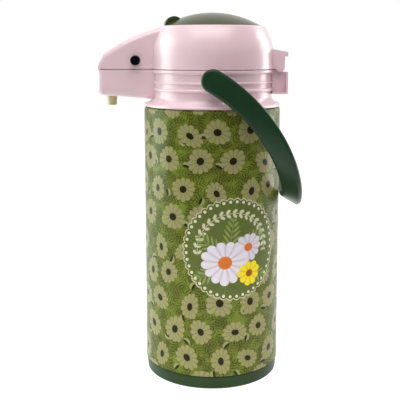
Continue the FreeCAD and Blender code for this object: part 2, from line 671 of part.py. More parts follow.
def handle():
    """Strap: a bowed side outline that a U in plan is cut down to."""
    lean = math.radians(STRAP_SLOPE)
    along = V(math.cos(lean), 0, -math.sin(lean))
    foot = PIVOT_Z - STRAP_DROP
    side = wide([
        (5.1, PIVOT_Z + EYE_UP), ((BODY_R - OUTER_IN, PIVOT_Z - OUTER_DROP), (BODY_R + STRAP_OUT, foot)),
        (BODY_R + 0.9, foot), (BODY_R + 0.9, PIVOT_Z - STRAP_END),
        ((BODY_R - INNER_IN, PIVOT_Z - INNER_DROP), (-5.3, PIVOT_Z - EYE_DOWN)),
        ((-9.6, PIVOT_Z + EYE_UP / 2), (5.1, PIVOT_Z + EYE_UP))], BODY_R + 30)
    reach = STRAP_IN + STRAP_T
    span = 3 * BODY_R

    def arch(r):
        """Plan at half width r: straight legs, a bend at each corner and a wide bow between them."""
        deep = STRAP_REACH - (reach - r)
        bend = STRAP_BEND - (reach - r)
        corner = r - bend
        rest = deep - STRAP_LEG - bend
        back = (corner ** 2 - rest ** 2) / (2 * rest)
        bow = deep - STRAP_LEG + back
        meet = math.atan2(corner, back)
        half = (math.pi / 2 + meet) / 2
        meet_at = (bow * math.sin(meet), back - STRAP_LEG - bow * math.cos(meet))
        half_at = (corner + bend * math.sin(half), -STRAP_LEG - bend * math.cos(half))
        form = wide([
            (r, BODY_R), (r, -STRAP_LEG), (half_at, meet_at),
            ((0, -deep), (-meet_at[0], meet_at[1])),
            ((-half_at[0], half_at[1]), (-r, -STRAP_LEG)), (-r, BODY_R)], span)
        form.rotate(V(0, 0, 0), V(0, 0, 1), 90)
        form.rotate(V(0, 0, 0), V(0, 1, 0), STRAP_SLOPE)
        form.translate(V(0, 0, PIVOT_Z))
        return form
    outside = arch(reach)
    inside = arch(STRAP_IN)
    strap = side.common(outside.cut(inside)).removeSplitter()
    strap = strap.Solids[0]

    def rims(face):
        """Long edges of the strap on its outer or its inner face."""
        found = []
        for e in strap.Edges:
            middle = (e.FirstParameter + e.LastParameter) / 2
            crossing = abs(e.tangentAt(middle).dot(along)) > 0.995 and e.Length < BODY_R / 2
            near = face.Shells[0].distToShape(Part.Vertex(e.valueAt(middle)))[0]
            if near < 0.02 and not crossing:
                found.append(e)
        return found
    try:
        strap = strap.makeFillet(STRAP_ROUND, rims(outside))
        strap = strap.makeFillet(STRAP_EASE, rims(inside))
    except Exception:
        print("handle edges left sharp")
    inner = COLLAR_R - WALL - 1.0 - 0.1
    for side_y in (1, -1):
        y0 = min(side_y * inner, side_y * (STRAP_IN + 1))
        y1 = max(side_y * inner, side_y * (STRAP_IN + 1))
        strap = strap.fuse(rod_y(PIVOT_R, 0, PIVOT_Z, y0, y1))
    for side_y in (1, -1):
        y0 = min(side_y * inner, side_y * (inner + 10))
        strap = strap.cut(rod_y(1.4, 0, PIVOT_Z, y0, y0 + 10))
    return solid(strap)


def pivot_washers():
    inner = COLLAR_R - WALL - 1.1
    washer = rod_y(PIVOT_R + 2.2, 0, PIVOT_Z, -inner, 1 - inner).cut(rod_y(1.6, 0, PIVOT_Z, -90, 0))
    return Part.makeCompound([washer, mirrored(washer)])


def pivot_screws():
    inner = COLLAR_R - WALL - 2.1
    head = rod_y(3.4, 0, PIVOT_Z, -inner, 2.2 - inner)
    head = head.cut(block(-4, 4, 1.2 - inner, 3 - inner, PIVOT_Z - 0.5, PIVOT_Z + 0.5))
    screw = head.fuse(rod_y(1.38, 0, PIVOT_Z, -inner - 10, 0.5 - inner)).removeSplitter()
    return Part.makeCompound([screw, mirrored(screw)])


near_button = release_button()
near_spring = latch_spring()
NODES = {
    "base_ring": base_ring(),
    "bottom_cap": bottom_cap(),
    "refill_cushion": refill_cushion(),
    "outer_shell": outer_shell(),
    "glass_refill": glass_refill(),
    "mouth_gasket": mouth_gasket(),
    "collar": collar(),
    "mouth_ring": mouth_ring(),
    "siphon_tube": siphon_tube(),
    "discharge_pipe": discharge_pipe(),
    "nozzle": nozzle(),
    "hinge_pin": hinge_pin(),
    "lid_shell": lid_shell(),
    "pump_plate": pump_plate(),
    "plate_screws": plate_screws(),
    "lid_gasket": lid_gasket(),
    "outlet_valve": outlet_valve(),
    "bellows": bellows(),
    "pump_spring": pump_spring(),
    "latch_spring_near": near_spring,
    "latch_spring_far": mirrored(near_spring),
    "pump_button": pump_button(),
    "button_plate": button_plate(),
    "intake_valve": intake_valve(),
    "lock_ring": lock_ring(),
    "release_button_near": near_button,
    "release_button_far": mirrored(near_button),
    "handle": handle(),
    "pivot_washers": pivot_washers(),
    "pivot_screws": pivot_screws(),
}
os.makedirs("parts", exist_ok=True)
for name, shape in NODES.items():
    shape.exportStep("parts/%s.step" % name)
    box = shape.BoundBox
    print("%-20s solids %d valid %s vol %.1f  x %.1f..%.1f y %.1f..%.1f z %.1f..%.1f" % (
        name, len(shape.Solids), shape.isValid(), shape.Volume / 1000,
        box.XMin, box.XMax, box.YMin, box.YMax, box.ZMin, box.ZMax))
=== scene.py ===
import math

import bpy
import numpy as np
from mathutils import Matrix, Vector


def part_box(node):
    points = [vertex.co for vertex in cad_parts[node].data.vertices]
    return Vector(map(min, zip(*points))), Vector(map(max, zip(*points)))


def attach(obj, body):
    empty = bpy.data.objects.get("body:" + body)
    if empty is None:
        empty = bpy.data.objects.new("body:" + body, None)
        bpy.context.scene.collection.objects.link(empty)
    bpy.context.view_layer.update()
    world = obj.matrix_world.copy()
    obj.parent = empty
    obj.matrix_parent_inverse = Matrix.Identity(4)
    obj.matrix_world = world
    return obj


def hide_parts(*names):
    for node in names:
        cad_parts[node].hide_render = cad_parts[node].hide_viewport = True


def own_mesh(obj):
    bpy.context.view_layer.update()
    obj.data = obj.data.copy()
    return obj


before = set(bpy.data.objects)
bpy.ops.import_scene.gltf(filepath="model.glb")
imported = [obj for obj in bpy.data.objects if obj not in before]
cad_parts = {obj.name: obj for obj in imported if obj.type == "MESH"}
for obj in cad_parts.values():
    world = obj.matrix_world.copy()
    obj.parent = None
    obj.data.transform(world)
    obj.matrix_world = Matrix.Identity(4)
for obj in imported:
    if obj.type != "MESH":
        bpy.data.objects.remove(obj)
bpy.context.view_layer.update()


# Base ring and bottom cap: dark green polypropylene mouldings. The ring is pressed into the foot of
# the steel shell, and the cap screws into the ring from below and carries the glass.

def ink(red, green, blue):
    """Linear colour of a swatch that is read in steps of 0 to 255."""
    swatch = np.array([red, green, blue]) / 255
    linear = np.where(swatch <= 0.04045, swatch / 12.92, ((swatch + 0.055) / 1.055) ** 2.4)
    return (*linear.tolist(), 1.0)


def feed(tree, node, values):
    """Gives a node's sockets numbers, colours or the outputs of earlier nodes."""
    for socket, value in values.items():
        if isinstance(value, bpy.types.NodeSocket):
            tree.links.new(value, node.inputs[socket])
        else:
            node.inputs[socket].default_value = value


def put(tree, kind, values=None, **choices):
    """One shader node, with its own settings as choices and its sockets fed."""
    made = tree.nodes.new("ShaderNode" + kind)
    for choice, value in choices.items():
        setattr(made, choice, value)
    feed(tree, made, values or {})
    return made


def work(tree, operation, *terms):
    """One step of arithmetic on a pattern, on numbers and on the outputs of earlier steps."""
    return put(tree, "Math", dict(enumerate(terms)), operation=operation).outputs[0]


def ramp(tree, value, low, high, start=0.0, end=1.0):
    """Value that runs from start to end while another goes from low to high."""
    return put(tree, "MapRange", {0: value, 1: low, 2: high, 3: start, 4: end}).outputs[0]


def lay(tree, mask, under, over):
    """One ink laid over another where the mask is 1."""
    return put(tree, "Mix", {0: mask, 6: under, 7: over}, data_type="RGBA").outputs[2]


def noise(tree, place, scale, detail, **feeds):
    """Cloudy pattern from 0 to 1, with so many clouds to the metre."""
    return put(tree, "TexNoise", {"Vector": place, "Scale": scale, "Detail": detail, **feeds}).outputs[0]


def bump(tree, height):
    """Normal of a relief whose height is in metres."""
    return put(tree, "Bump", {"Strength": 1.0, "Distance": 1.0, "Height": height}).outputs[0]


def new_finish(name):
    """Fresh material, with its node tree and its Principled shader."""
    material = bpy.data.materials.new(name)
    material.use_nodes = True
    return material, material.node_tree, material.node_tree.nodes["Principled BSDF"]


def open_group(name, takes, gives):
    """Empty node group with number inputs and the named outputs, and its two end nodes."""
    tree = bpy.data.node_groups.new(name, "ShaderNodeTree")
    for label in takes:
        tree.interface.new_socket(label, in_out="INPUT", socket_type="NodeSocketFloat")
    for label in gives:
        tree.interface.new_socket(label, in_out="OUTPUT", socket_type="NodeSocketFloat")
    return tree, tree.nodes.new("NodeGroupInput").outputs, tree.nodes.new("NodeGroupOutput").inputs


def use_group(tree, group, **feeds):
    """Outputs of a node group that is placed with these values."""
    return put(tree, "Group", feeds, node_tree=group).outputs


def moulded_skin():
    """Skin of a moulding: fine spark-eroded grain, soft flow clouds, and a handled sheen between them."""
    tree, takes, gives = open_group("moulded_skin", ["Grain"], ["Height", "Cloud", "Sheen"])
    place = put(tree, "TexCoord").outputs["Object"]
    fine = work(tree, "DIVIDE", 1.0, takes["Grain"])
    tree.links.new(noise(tree, place, fine, 2.0), gives["Height"])
    tree.links.new(noise(tree, place, 26.0, 3.0, Distortion=0.6), gives["Cloud"])
    tree.links.new(noise(tree, place, 95.0, 4.0), gives["Sheen"])
    return tree


skin = moulded_skin()


def plastic(name, colour, deep, rough, grain=0.0006, relief=0.00001, coat=0.0, gloss=0.5):
    """Moulded plastic: colour drifts to a deeper one in soft clouds, over the grain of the mould."""
    handled = 0.14
    material, tree, body = new_finish(name)
    marks = use_group(tree, skin, Grain=grain)
    drift = ramp(tree, marks["Cloud"], 0.3, 0.7)
    feed(tree, body, {
        "Base Color": lay(tree, drift, colour, deep),
        "Roughness": work(tree, "MULTIPLY_ADD", marks["Sheen"], handled, rough - handled / 2),
        "Normal": bump(tree, work(tree, "MULTIPLY", marks["Height"], relief)),
        "Specular IOR Level": gloss, "Coat Weight": coat, "Coat Roughness": 0.22})
    return material


def dress(material, *names):
    """Gives CAD nodes a finish."""
    for name in names:
        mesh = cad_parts[name].data
        mesh.materials.clear()
        mesh.materials.append(material)


LEAF_GREEN = ink(45, 67, 36)
DEEP_GREEN = ink(38, 59, 31)
dress(plastic("base_green", LEAF_GREEN, DEEP_GREEN, rough=0.4, gloss=0.14), "base_ring", "bottom_cap")


# Cushion and glass refill: a black rubber ring that the double-walled bottle of silvered glass stands
# in. The silver is inside the two walls, so the glass shows as a mirror under a clear skin.

def rubber(name, colour, deep):
    """Silicone or rubber: matt, with a dusty bloom in its clouds."""
    return plastic(name, colour, deep, rough=0.62, grain=0.0011, relief=0.00003)


def silvered_glass(bright, cloudy):
    """Mirror under glass: the silvering is cloudier in drifts and the glass has slow waves."""
    wave_height = 0.0006
    material, tree, body = new_finish("silvered_glass")
    place = put(tree, "TexCoord").outputs["Object"]
    drift = noise(tree, place, 40.0, 5.0)
    feed(tree, body, {
        "Base Color": lay(tree, drift, bright, cloudy),
        "Roughness": work(tree, "MULTIPLY_ADD", drift, 0.1, 0.02),
        "Normal": bump(tree, work(tree, "MULTIPLY", noise(tree, place, 22.0, 1.0), wave_height)),
        "Metallic": 1.0, "Coat Weight": 0.8, "Coat Roughness": 0.03})
    return material


dress(rubber("cushion_rubber", ink(44, 44, 45), ink(30, 30, 31)), "refill_cushion")
dress(silvered_glass(ink(236, 239, 241), ink(206, 212, 214)), "glass_refill")


# Outer shell: printed sheet steel, rolled, seamed at the back behind the handle and turned in at the
# top. The print is an all-over of pale blossoms and sprigs on green, with a round posy panel in front.

SHELL_R = 0.065
# painted shade: height and ink of a dark band along the shell's foot, standing for the shade in the joint
# with the base ring
JOINT_SHADE_HEIGHT = 0.0010
JOINT_SHADE = ink(24, 30, 12)
SEAM_HALF_TURN = 0.009
SEAM_RISE = 0.0005

ANY_TURN = 6.3
OLIVE = ink(97, 102, 32)
MEADOW = ink(111, 124, 39)
# pitch round the shell, rise of a row, looseness and shift of the rows, then length, leaflet and ink
SPRIG_LAYERS = (((0.0105, 0.0098, 0.9, 0.30), 0.0140, 0.0040, ink(38, 40, 4)),
                ((0.0140, 0.0128, 0.9, 0.71), 0.0180, 0.0046, ink(48, 54, 6)))
SPRIG_STEP = 0.78
SPRIG_PLUMP = 0.2
SPRIG_STRENGTH = 0.78
BUD_ROWS = (0.0310, 0.0270, 0.5, 0.55)
BUD_LONG = 0.0042
# way to the side, plumpness, ink
BUD_DROPS = ((0.0, 0.48, ink(146, 146, 98)), (0.0017, 0.30, ink(32, 30, 6)))
BLOSSOM_ROWS = (0.0300, 0.0262, 0.24, 0.0)
BLOSSOM_R, BLOSSOM_GROWTH = 0.0118, 0.0024
BLOSSOM_FLAT, BLOSSOM_OPENING = 0.64, 0.38
BLOSSOM_PETALS = 12.0
BLOSSOM_INKS = (ink(149, 145, 96), ink(112, 106, 57), ink(30, 24, 4))

PANEL_TURN = math.radians(107)
PANEL_UP = 0.133
PANEL_R = 0.0475
PANEL_GROUND = ink(94, 104, 48)
PANEL_SPRIGS = ink(74, 84, 34)
SCALLOPS = 44
RIM_INK = ink(196, 192, 154)
PEARL_RING = 0.0442
PEARL_R = 0.0014
PEARL_INK = ink(216, 211, 182)
GARLAND_R = 0.0335
GARLAND_LEAVES = 34
GARLAND_LEAF = 0.0021
GARLAND_INK = ink(204, 200, 164)
POSY_LEAF = ink(134, 150, 80)
POSY_SQUASH = 0.92
# length, leaflet, step and plumpness of the posy's sprigs
POSY_SPRIG = (0.034, 0.0085, 0.62, 0.28)
# turn, place across and along the panel
POSY_SPRIGS = ((0.55, 0.016, 0.006), (2.5, -0.021, 0.004), (1.45, -0.002, 0.013),
               (-0.4, 0.022, -0.024), (3.6, -0.023, -0.022))
# place across and along the panel, radius, petals, turn, inks of petal, parting and eye
POSY_BLOSSOMS = (
    (0.0150, 0.001, 0.0150, 11.0, 0.3, (ink(214, 205, 214), ink(172, 156, 176), ink(206, 108, 38))),
    (-0.008, -0.012, 0.0235, 13.0, 0.1, (ink(222, 215, 221), ink(176, 160, 180), ink(212, 112, 36))),
    (0.016, -0.0235, 0.0128, 9.0, 0.7, (ink(238, 216, 40), ink(206, 164, 24), ink(150, 84, 20))))


def soft_edge(tree, inside, width):
    """Mask that rises from 0 to 1 where a distance passes from one side of an edge to the other."""
    spread = work(tree, "MULTIPLY_ADD", inside, 1 / width, 0.5)
    return work(tree, "MINIMUM", work(tree, "MAXIMUM", spread, 0.0), 1.0)


def turned(tree, across, along, angle):
    """Place on the print after a turn about its own middle: x cos + y sin, y cos - x sin."""
    cosine = work(tree, "COSINE", angle)
    sine = work(tree, "SINE", angle)
    x = work(tree, "ADD", work(tree, "MULTIPLY", across, cosine), work(tree, "MULTIPLY", along, sine))
    y = work(tree, "SUBTRACT", work(tree, "MULTIPLY", along, cosine), work(tree, "MULTIPLY", across, sine))
    return x, y


def moved(tree, across, along, x, y):
    """Place on the print, measured from another middle."""
    return work(tree, "SUBTRACT", across, x), work(tree, "SUBTRACT", along, y)


def length(tree, x, y):
    """Distance from the middle."""
    return work(tree, "SQRT", work(tree, "ADD", work(tree, "MULTIPLY", x, x), work(tree, "MULTIPLY", y, y)))


def beat(tree, value):
    """Place within the step that a value is in, from -0.5 to 0.5."""
    return work(tree, "SUBTRACT", work(tree, "FRACT", value), 0.5)


def hump(tree, value, start, end):
    """Parabola that is 1 midway between two values and 0 at both."""
    half = (end - start) / 2
    off = work(tree, "MULTIPLY_ADD", value, 1 / half, -(start + half) / half)
    return work(tree, "SUBTRACT", 1.0, work(tree, "POWER", off, 2.0))


def blossom_group():
    """Printed blossom: an edge that swells at each petal, a round eye, and lines where the petals part."""
    waist, swelling, lopsided, eye_share, line_reach = 0.73, 0.22, 0.05, 0.28, 1.45
    petal_edge, eye_edge = 0.0005, 0.0006
    labels = ["Across", "Along", "Turn", "Radius", "Petals", "Squash"]
    tree, takes, gives = open_group("blossom", labels, ["Petal", "Eye", "Line"])
    x, y = turned(tree, takes["Across"], takes["Along"], takes["Turn"])
    y = work(tree, "DIVIDE", y, takes["Squash"])
    far = length(tree, x, y)
    bearing = work(tree, "ARCTAN2", y, x)
    half = work(tree, "MULTIPLY", bearing, work(tree, "MULTIPLY", takes["Petals"], 0.5))
    swell = work(tree, "POWER", work(tree, "ABSOLUTE", work(tree, "SINE", half)), 0.45)
    phase = work(tree, "MULTIPLY", takes["Turn"], 2.0)
    uneven = work(tree, "SINE", work(tree, "MULTIPLY_ADD", bearing, 3.0, phase))
    spread = work(tree, "MULTIPLY_ADD", swell, swelling, waist)
    spread = work(tree, "MULTIPLY_ADD", uneven, lopsided, spread)
    edge = work(tree, "MULTIPLY", takes["Radius"], spread)
    eye = work(tree, "MULTIPLY", takes["Radius"], eye_share)
    fade = work(tree, "SUBTRACT", line_reach, work(tree, "DIVIDE", far, takes["Radius"]))
    parting = work(tree, "SUBTRACT", 1.0, swell)
    tree.links.new(soft_edge(tree, work(tree, "SUBTRACT", edge, far), petal_edge), gives["Petal"])
    tree.links.new(soft_edge(tree, work(tree, "SUBTRACT", eye, far), eye_edge), gives["Eye"])
    tree.links.new(work(tree, "MULTIPLY", parting, fade), gives["Line"])
    return tree


def sprig_group():
    """Printed sprig: a stem with leaflets in pairs, slanted forward and shorter towards both ends."""
    stem_half, stem_sharp, shortest = 0.00022, 800.0, 0.0002
    leaf_edge, stem_edge, end_edge = 0.16, 0.25, 0.2
    labels = ["Across", "Along", "Turn", "Length", "Leaf", "Step", "Plump"]
    tree, takes, gives = open_group("sprig", labels, ["Mask"])
    x, y = turned(tree, takes["Across"], takes["Along"], takes["Turn"])
    side = work(tree, "ABSOLUTE", y)
    run = work(tree, "DIVIDE", x, work(tree, "MULTIPLY", takes["Length"], 0.5))
    within = work(tree, "SUBTRACT", 1.0, work(tree, "MULTIPLY", run, run))
    taper = work(tree, "SQRT", work(tree, "MAXIMUM", within, 0.0))
    reach = work(tree, "MAXIMUM", work(tree, "MULTIPLY", takes["Leaf"], taper), shortest)
    belly = hump(tree, work(tree, "DIVIDE", side, reach), 0.0, 1.0)
    spacing = work(tree, "MULTIPLY", takes["Leaf"], takes["Step"])
    slant = work(tree, "DIVIDE", work(tree, "SUBTRACT", x, side), spacing)
    gap = work(tree, "ABSOLUTE", beat(tree, slant))
    leaf = work(tree, "SUBTRACT", work(tree, "MULTIPLY", belly, takes["Plump"]), gap)
    stem = work(tree, "MULTIPLY", work(tree, "SUBTRACT", stem_half, side), stem_sharp)
    shown = work(tree, "MAXIMUM", soft_edge(tree, leaf, leaf_edge), soft_edge(tree, stem, stem_edge))
    tree.links.new(work(tree, "MULTIPLY", shown, soft_edge(tree, taper, end_edge)), gives["Mask"])
    return tree


blossom = blossom_group()
sprig = sprig_group()


def scatter(tree, arc, up, pitch, rise, loose, shift):
    """Places motifs in loose staggered rows: each point's way to its own motif, and that motif's chances."""
    row = work(tree, "MULTIPLY_ADD", up, 1 / rise, shift)
    column = work(tree, "MULTIPLY_ADD", row, 0.5, work(tree, "MULTIPLY_ADD", arc, 1 / pitch, shift))
    cell = put(tree, "CombineXYZ", {0: column, 1: row}).outputs[0]
    spot = put(tree, "TexVoronoi", {"Vector": cell, "Scale": 1.0, "Randomness": loose},
               voronoi_dimensions="2D").outputs
    heart = put(tree, "SeparateXYZ", {0: spot["Position"]}).outputs
    columns, rows = moved(tree, column, row, heart[0], heart[1])
    columns = work(tree, "SUBTRACT", columns, work(tree, "MULTIPLY", rows, 0.5))
    chance = put(tree, "SeparateColor", {0: spot["Color"]}).outputs
    return work(tree, "MULTIPLY", columns, pitch), work(tree, "MULTIPLY", rows, rise), chance


def print_sprig(tree, local, turn, long, leaf, step, plump):
    """Mask of one sprig, or of a scatter of them."""
    return use_group(tree, sprig, Across=local[0], Along=local[1], Turn=turn, Length=long, Leaf=leaf,
                     Step=step, Plump=plump)["Mask"]


def print_blossom(tree, under, local, turn, size, petals, squash, inks):
    """Lays one blossom, or a scatter of them, over what is printed so far."""
    petal, line, eye = inks
    form = use_group(tree, blossom, Across=local[0], Along=local[1], Turn=turn, Radius=size,
                     Petals=petals, Squash=squash)
    shaded = lay(tree, work(tree, "MINIMUM", form["Line"], 1.0), petal, line)
    printed = lay(tree, form["Petal"], under, shaded)
    return lay(tree, form["Eye"], printed, eye)


def meadow_print(tree, arc, up):
    """All-over: a washed ground, two layers of fine sprigs, buds and blossoms, and the last sprigs' mask."""
    flat = put(tree, "CombineXYZ", {0: arc, 1: up}).outputs[0]
    cloud = put(tree, "TexNoise", {"Vector": flat, "Scale": 60.0, "Detail": 2.0}, noise_dimensions="2D")
    printed = lay(tree, ramp(tree, cloud.outputs[0], 0.35, 0.68), OLIVE, MEADOW)
    for rows, long, leaf, shade in SPRIG_LAYERS:
        x, y, chance = scatter(tree, arc, up, *rows)
        turn = work(tree, "MULTIPLY", chance[0], ANY_TURN)
        twigs = print_sprig(tree, (x, y), turn, long, leaf, SPRIG_STEP, SPRIG_PLUMP)
        printed = lay(tree, work(tree, "MULTIPLY", twigs, SPRIG_STRENGTH), printed, shade)

    x, y, chance = scatter(tree, arc, up, *BUD_ROWS)
    x, y = turned(tree, x, y, work(tree, "MULTIPLY", chance[0], ANY_TURN))
    for beside, plump, shade in BUD_DROPS:
        drop = use_group(tree, blossom, Across=x, Along=work(tree, "SUBTRACT", y, beside), Turn=0.0,
                         Radius=BUD_LONG, Petals=2.0, Squash=plump)["Petal"]
        printed = lay(tree, drop, printed, shade)

    x, y, chance = scatter(tree, arc, up, *BLOSSOM_ROWS)
    size = work(tree, "MULTIPLY_ADD", chance[0], BLOSSOM_GROWTH, BLOSSOM_R)
    squash = work(tree, "MULTIPLY_ADD", chance[1], BLOSSOM_OPENING, BLOSSOM_FLAT)
    turn = work(tree, "MULTIPLY", chance[2], ANY_TURN)
    printed = print_blossom(tree, printed, (x, y), turn, size, BLOSSOM_PETALS, squash, BLOSSOM_INKS)
    return printed, twigs


def garland(tree, far, about, along):
    """Mask of a wreath of leaves that lean along a ring, over the panel's upper half."""
    stalk_half, lean_rate, leaf_plump, arch_foot = 0.00028, 90.0, 0.30, -0.004
    leaf_edge, stalk_edge, arch_edge = 0.15, 0.0003, 0.002
    aside = work(tree, "ABSOLUTE", work(tree, "SUBTRACT", far, GARLAND_R))
    step = beat(tree, work(tree, "MULTIPLY", about, GARLAND_LEAVES / (2 * math.pi)))
    lean = work(tree, "MULTIPLY_ADD", aside, lean_rate, step)
    lean = work(tree, "ABSOLUTE", beat(tree, work(tree, "ADD", lean, 0.5)))
    belly = work(tree, "MULTIPLY", hump(tree, aside, 0.0, 2 * GARLAND_LEAF), leaf_plump)
    leaf = soft_edge(tree, work(tree, "SUBTRACT", belly, lean), leaf_edge)
    stalk = soft_edge(tree, work(tree, "SUBTRACT", stalk_half, aside), stalk_edge)
    upper = soft_edge(tree, work(tree, "SUBTRACT", along, arch_foot), arch_edge)
    return work(tree, "MULTIPLY", work(tree, "MAXIMUM", leaf, stalk), upper)


def posy_panel(tree, scene, across, along, twigs):
    """Lays the round panel: a scalloped ground, a garland, a posy, a ring of pearls and a pale rim."""
    scallop_depth, rim_half, print_edge = -0.0075, 0.0005, 0.0004
    far = length(tree, across, along)
    about = work(tree, "ARCTAN2", along, across)
    panel = lay(tree, work(tree, "MULTIPLY", twigs, 0.5), PANEL_GROUND, PANEL_SPRIGS)
    panel = lay(tree, garland(tree, far, about, along), panel, GARLAND_INK)
    for turn, x, y in POSY_SPRIGS:
        local = moved(tree, across, along, x, y)
        panel = lay(tree, print_sprig(tree, local, turn, *POSY_SPRIG), panel, POSY_LEAF)
    for x, y, size, petals, turn, inks in POSY_BLOSSOMS:
        local = moved(tree, across, along, x, y)
        panel = print_blossom(tree, panel, local, turn, size, petals, POSY_SQUASH, inks)

    step = beat(tree, work(tree, "MULTIPLY", about, SCALLOPS / (2 * math.pi)))
    sideways = work(tree, "MULTIPLY", step, 2 * math.pi / SCALLOPS * PEARL_RING)
    off_pearl = length(tree, sideways, work(tree, "SUBTRACT", far, PEARL_RING))
    pearl = soft_edge(tree, work(tree, "SUBTRACT", PEARL_R, off_pearl), print_edge)
    panel = lay(tree, pearl, panel, PEARL_INK)
    edge = work(tree, "MULTIPLY_ADD", work(tree, "MULTIPLY", step, step), scallop_depth, PANEL_R)
    scene = lay(tree, soft_edge(tree, work(tree, "SUBTRACT", edge, far), print_edge), scene, panel)
    off_rim = work(tree, "ABSOLUTE", work(tree, "SUBTRACT", far, edge))
    rim = soft_edge(tree, work(tree, "SUBTRACT", rim_half, off_rim), print_edge)
    return lay(tree, rim, scene, RIM_INK)


def printed_steel():
    """Lithographed sheet under clear lacquer, with the slow waves of rolled sheet and its seam at the back.

    The print is worked out unrolled: arc is the way round from the spout, up the height.
    """
    wave_height, peel_height = 0.0002, 0.000006
    joint_shade_blur, seam_edge = 0.0003, 0.004
    material, tree, body = new_finish("printed_steel")
    place = put(tree, "TexCoord").outputs["Object"]
    x, y, up = put(tree, "SeparateXYZ", {0: place}).outputs
    bearing = work(tree, "ARCTAN2", work(tree, "MULTIPLY", y, -1.0), work(tree, "MULTIPLY", x, -1.0))
    arc = work(tree, "MULTIPLY", bearing, SHELL_R)
    scene, twigs = meadow_print(tree, arc, up)
    across, along = moved(tree, arc, up, SHELL_R * PANEL_TURN, PANEL_UP)
    scene = posy_panel(tree, scene, across, along, twigs)

    # Painted shade: the sheet is darkened along its foot, where it stands on the base ring, as the shade in
    # that joint
    joint_shade_depth = work(tree, "SUBTRACT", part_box("outer_shell")[0].z + JOINT_SHADE_HEIGHT, up)
    scene = lay(tree, soft_edge(tree, joint_shade_depth, joint_shade_blur), scene, JOINT_SHADE)

    back = work(tree, "SUBTRACT", work(tree, "ABSOLUTE", bearing), math.pi - SEAM_HALF_TURN)
    peel = noise(tree, place, 700.0, 1.0)
    height = work(tree, "MULTIPLY", noise(tree, place, 14.0, 1.0), wave_height)
    height = work(tree, "MULTIPLY_ADD", peel, peel_height, height)
    height = work(tree, "MULTIPLY_ADD", soft_edge(tree, back, seam_edge), SEAM_RISE, height)
    feed(tree, body, {
        "Base Color": scene, "Normal": bump(tree, height),
        "Roughness": work(tree, "MULTIPLY_ADD", peel, 0.12, 0.3),
        "Coat Weight": 0.12, "Coat Roughness": 0.1, "Specular IOR Level": 0.1})
    return material


dress(printed_steel(), "outer_shell")


# Collar and lid: gloss pink mouldings. The collar clips over the shell and carries the lower beak, the
# hinge and the handle's bosses; the lid closes on it along one fine line.

PINK = ink(237, 207, 213)
DEEP_PINK = ink(233, 200, 207)
dress(plastic("pink_gloss", PINK, DEEP_PINK, rough=0.32, relief=0.000004, coat=0.65), "collar", "lid_shell")


# Filling mouth, pipes, pump plate and button plate: satin white plastic, and the white silicone of the
# gaskets and the two umbrella valves. The spout's nozzle is a push-in tip of cream plastic.

WHITE = ink(236, 235, 230)
SHADE_WHITE = ink(226, 224, 217)
dress(plastic("satin_white", WHITE, SHADE_WHITE, rough=0.45), "mouth_ring", "discharge_pipe", "siphon_tube",
      "pump_plate", "button_plate")
silicone = rubber("white_silicone", ink(226, 225, 219), ink(212, 210, 202))
dress(silicone, "mouth_gasket", "lid_gasket", "outlet_valve", "intake_valve")
dress(plastic("cream_tip", ink(216, 203, 160), ink(206, 190, 144), rough=0.4), "nozzle")


# Hinge pin, screws and washers: plain zinc-bright steel, drawn or turned, so that fine lines show. The
# pin is pushed through the hinge's knuckles; the screws hold the pump plate and the handle's pins.

def plain_steel(bright, cloudy):
    """Zinc-bright steel: fine drawn lines and a cloudy passivation."""
    line_height = 0.000008
    material, tree, body = new_finish("plain_steel")
    place = put(tree, "TexCoord").outputs["Object"]
    drawn = put(tree, "Mapping", {"Vector": place, "Scale": (9000.0, 500.0, 9000.0)}).outputs[0]
    lines = noise(tree, drawn, 1.0, 2.0)
    feed(tree, body, {
        "Base Color": lay(tree, noise(tree, place, 300.0, 3.0), bright, cloudy),
        "Roughness": work(tree, "MULTIPLY_ADD", lines, 0.2, 0.22),
        "Normal": bump(tree, work(tree, "MULTIPLY", lines, line_height)),
        "Metallic": 1.0})
    return material


steel = plain_steel(ink(198, 198, 200), ink(168, 169, 172))
dress(steel, "hinge_pin", "plate_screws", "pivot_washers", "pivot_screws")


# Bellows: a pleated sleeve of white silicone between the pump plate and the button's plate, with a flat
# foot and head that are clamped. It folds up as the button goes down.

BELLOWS_FOLD = 0.007
BELLOWS_PLEATS = 4
BELLOWS_WALL = 0.0012


def piece(name, points, wrap, material, body):
    """Ends that are left open are closed with one face each.
    """
    rows, columns = points.shape[:2]
    down = np.arange(rows if wrap[0] else rows - 1)
    over = np.arange(columns if wrap[1] else columns - 1)
    i, j = np.meshgrid(down, over, indexing="ij")
    k, m = (i + 1) % rows, (j + 1) % columns
    quads = np.stack([i * columns + j, k * columns + j, k * columns + m, i * columns + m], -1)
    faces = quads.reshape(-1, 4).tolist()
    if not wrap[0]:
        faces.append(list(range(columns)))
        faces.append([(rows - 1) * columns + c for c in reversed(range(columns))])
    mesh = bpy.data.meshes.new(name)
    mesh.from_pydata(points.reshape(-1, 3).tolist(), [], faces)
    mesh.polygons.foreach_set("use_smooth", np.ones(len(mesh.polygons), bool))
    mesh.materials.append(material)
    made = bpy.data.objects.new(name, mesh)
    bpy.context.scene.collection.objects.link(made)
    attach(made, body)
    return made


